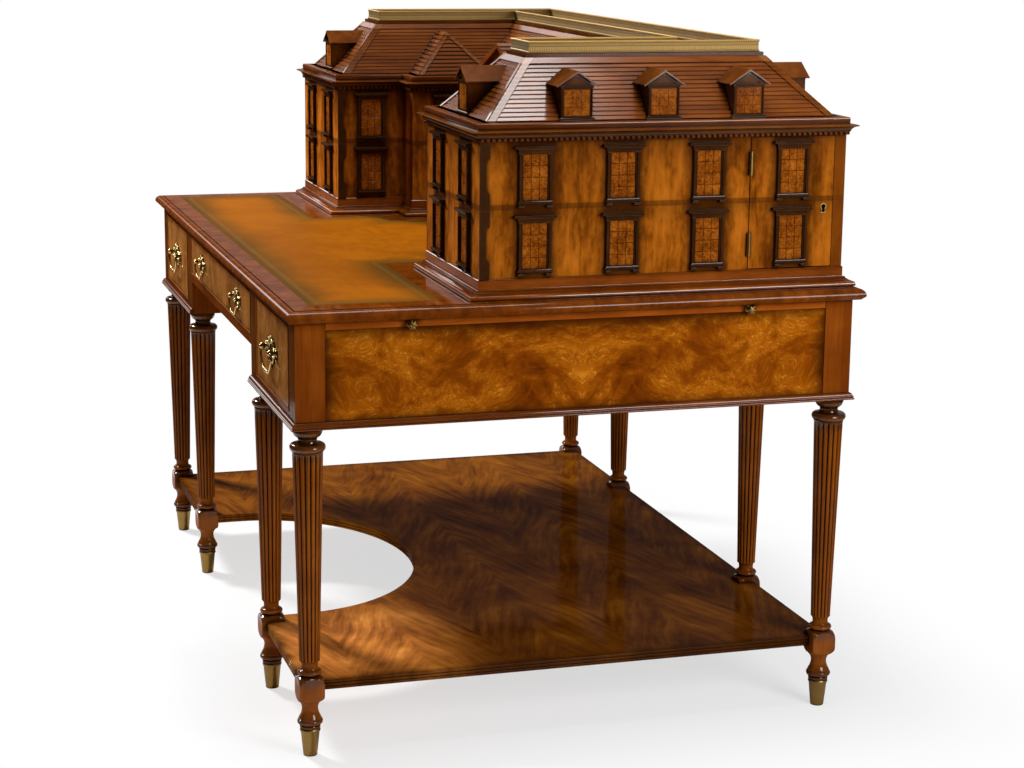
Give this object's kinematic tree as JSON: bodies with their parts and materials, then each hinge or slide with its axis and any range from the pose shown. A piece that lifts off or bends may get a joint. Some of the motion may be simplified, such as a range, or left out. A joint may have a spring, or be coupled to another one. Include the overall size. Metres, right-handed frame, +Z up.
{
  "type": "captain's desk",
  "caption": "Writing desk on reeded legs with drawers, side brushing slides, an undertier and a mansion-shaped superstructure with side cupboards and a brass roof gallery.",
  "frame": {"origin": "floor level under the middle of the whole footprint", "axes": "+X to the sitter's right along the width, +Y from the sitter towards the back, +Z up"},
  "size_m": [1.524, 1.016, 1.185],
  "materials": {
    "mahogany": "gloss lacquer",
    "flame_mahogany": "gloss lacquer",
    "golden_veneer": "gloss lacquer",
    "dark_trim": "gloss lacquer",
    "burl_veneer": "gloss lacquer",
    "lining_wood": "satin",
    "roof_mahogany": "gloss lacquer",
    "leather": "satin",
    "brass": "polished, slightly aged"
  },
  "bodies": {
    "desk": {"back_panels": "flame_mahogany", "back_wall": "golden_veneer", "base_mouldings": "mahogany", "brass_ferrules": "brass", "brass_gallery": "brass", "cornice": "mahogany", "courtyard_roofs": "roof_mahogany", "courtyard_walls": "golden_veneer", "cupboard_linings": "lining_wood", "desk_top": "mahogany", "dormer_bodies": "dark_trim", "dormer_roofs": "roof_mahogany", "drawer_runners": "lining_wood", "fixed_hinge_leaves": "brass", "frieze_posts": "mahogany", "front_rails": "mahogany", "hip_boards": "roof_mahogany", "kneehole_sides": "mahogany", "leather_inset": "leather", "leg_back_inner_left": "mahogany", "leg_back_inner_right": "mahogany", "leg_back_left": "mahogany", "leg_back_right": "mahogany", "leg_front_inner_left": "mahogany", "leg_front_inner_right": "mahogany", "leg_front_left": "mahogany", "leg_front_right": "mahogany", "mansion_base": "mahogany", "quoins": "dark_trim", "roof_boards": "roof_mahogany", "roof_slopes": "roof_mahogany", "side_panel_left": "flame_mahogany", "side_panel_right": "flame_mahogany", "undertier": "flame_mahogany", "window_frames": "dark_trim", "window_panes": "burl_veneer", "wing_walls": "golden_veneer"},
    "drawer_left": {"drawer_front_left": "flame_mahogany", "drawer_box_left": "lining_wood", "handle_plate_left": "brass"},
    "drawer_right": {"drawer_front_right": "flame_mahogany", "drawer_box_right": "lining_wood", "handle_plate_right": "brass"},
    "drawer_centre": {"drawer_front_centre": "flame_mahogany", "drawer_box_centre": "lining_wood", "handle_plates_centre": "brass"},
    "bail_left": {"bail_left": "brass"},
    "bail_right": {"bail_right": "brass"},
    "bail_centre_left": {"bail_centre_left": "brass"},
    "bail_centre_right": {"bail_centre_right": "brass"},
    "slide_left": {"slide_left": "mahogany", "slide_knobs_left": "brass"},
    "slide_right": {"slide_right": "mahogany", "slide_knobs_right": "brass"},
    "door_left": {"door_left": "golden_veneer", "door_windows_left": "dark_trim", "door_brass_left": "brass"},
    "door_right": {"door_right": "golden_veneer", "door_windows_right": "dark_trim", "door_brass_right": "brass"}
  },
  "joints": [
    {"name": "drawer_left_slide", "type": "slide", "parent": "desk", "child": "drawer_left", "axis": [0, -1, 0], "range_m": [0, 0.34]},
    {"name": "drawer_right_slide", "type": "slide", "parent": "desk", "child": "drawer_right", "axis": [0, -1, 0], "range_m": [0, 0.34]},
    {"name": "drawer_centre_slide", "type": "slide", "parent": "desk", "child": "drawer_centre", "axis": [0, -1, 0], "range_m": [0, 0.34]},
    {"name": "bail_left_swing", "type": "hinge", "parent": "drawer_left", "child": "bail_left", "pos_m": [-0.54575, -0.5024, 0.6673], "axis": [-1, 0, 0], "range_deg": [0, 80]},
    {"name": "bail_right_swing", "type": "hinge", "parent": "drawer_right", "child": "bail_right", "pos_m": [0.54575, -0.5024, 0.6673], "axis": [-1, 0, 0], "range_deg": [0, 80]},
    {"name": "bail_centre_left_swing", "type": "hinge", "parent": "drawer_centre", "child": "bail_centre_left", "pos_m": [-0.204, -0.50044, 0.69807], "axis": [-1, 0, 0], "range_deg": [0, 80]},
    {"name": "bail_centre_right_swing", "type": "hinge", "parent": "drawer_centre", "child": "bail_centre_right", "pos_m": [0.204, -0.50044, 0.69807], "axis": [-1, 0, 0], "range_deg": [0, 80]},
    {"name": "slide_left_pull", "type": "slide", "parent": "desk", "child": "slide_left", "axis": [-1, 0, 0], "range_m": [0, 0.25]},
    {"name": "door_left_hinge", "type": "hinge", "parent": "desk", "child": "door_left", "pos_m": [-0.7146, 0.3048, 0.9], "axis": [0, 0, 1], "range_deg": [0, 100]},
    {"name": "slide_right_pull", "type": "slide", "parent": "desk", "child": "slide_right", "axis": [1, 0, 0], "range_m": [0, 0.25]},
    {"name": "door_right_hinge", "type": "hinge", "parent": "desk", "child": "door_right", "pos_m": [0.7146, 0.3048, 0.9], "axis": [0, 0, -1], "range_deg": [0, 100]}
  ]
}
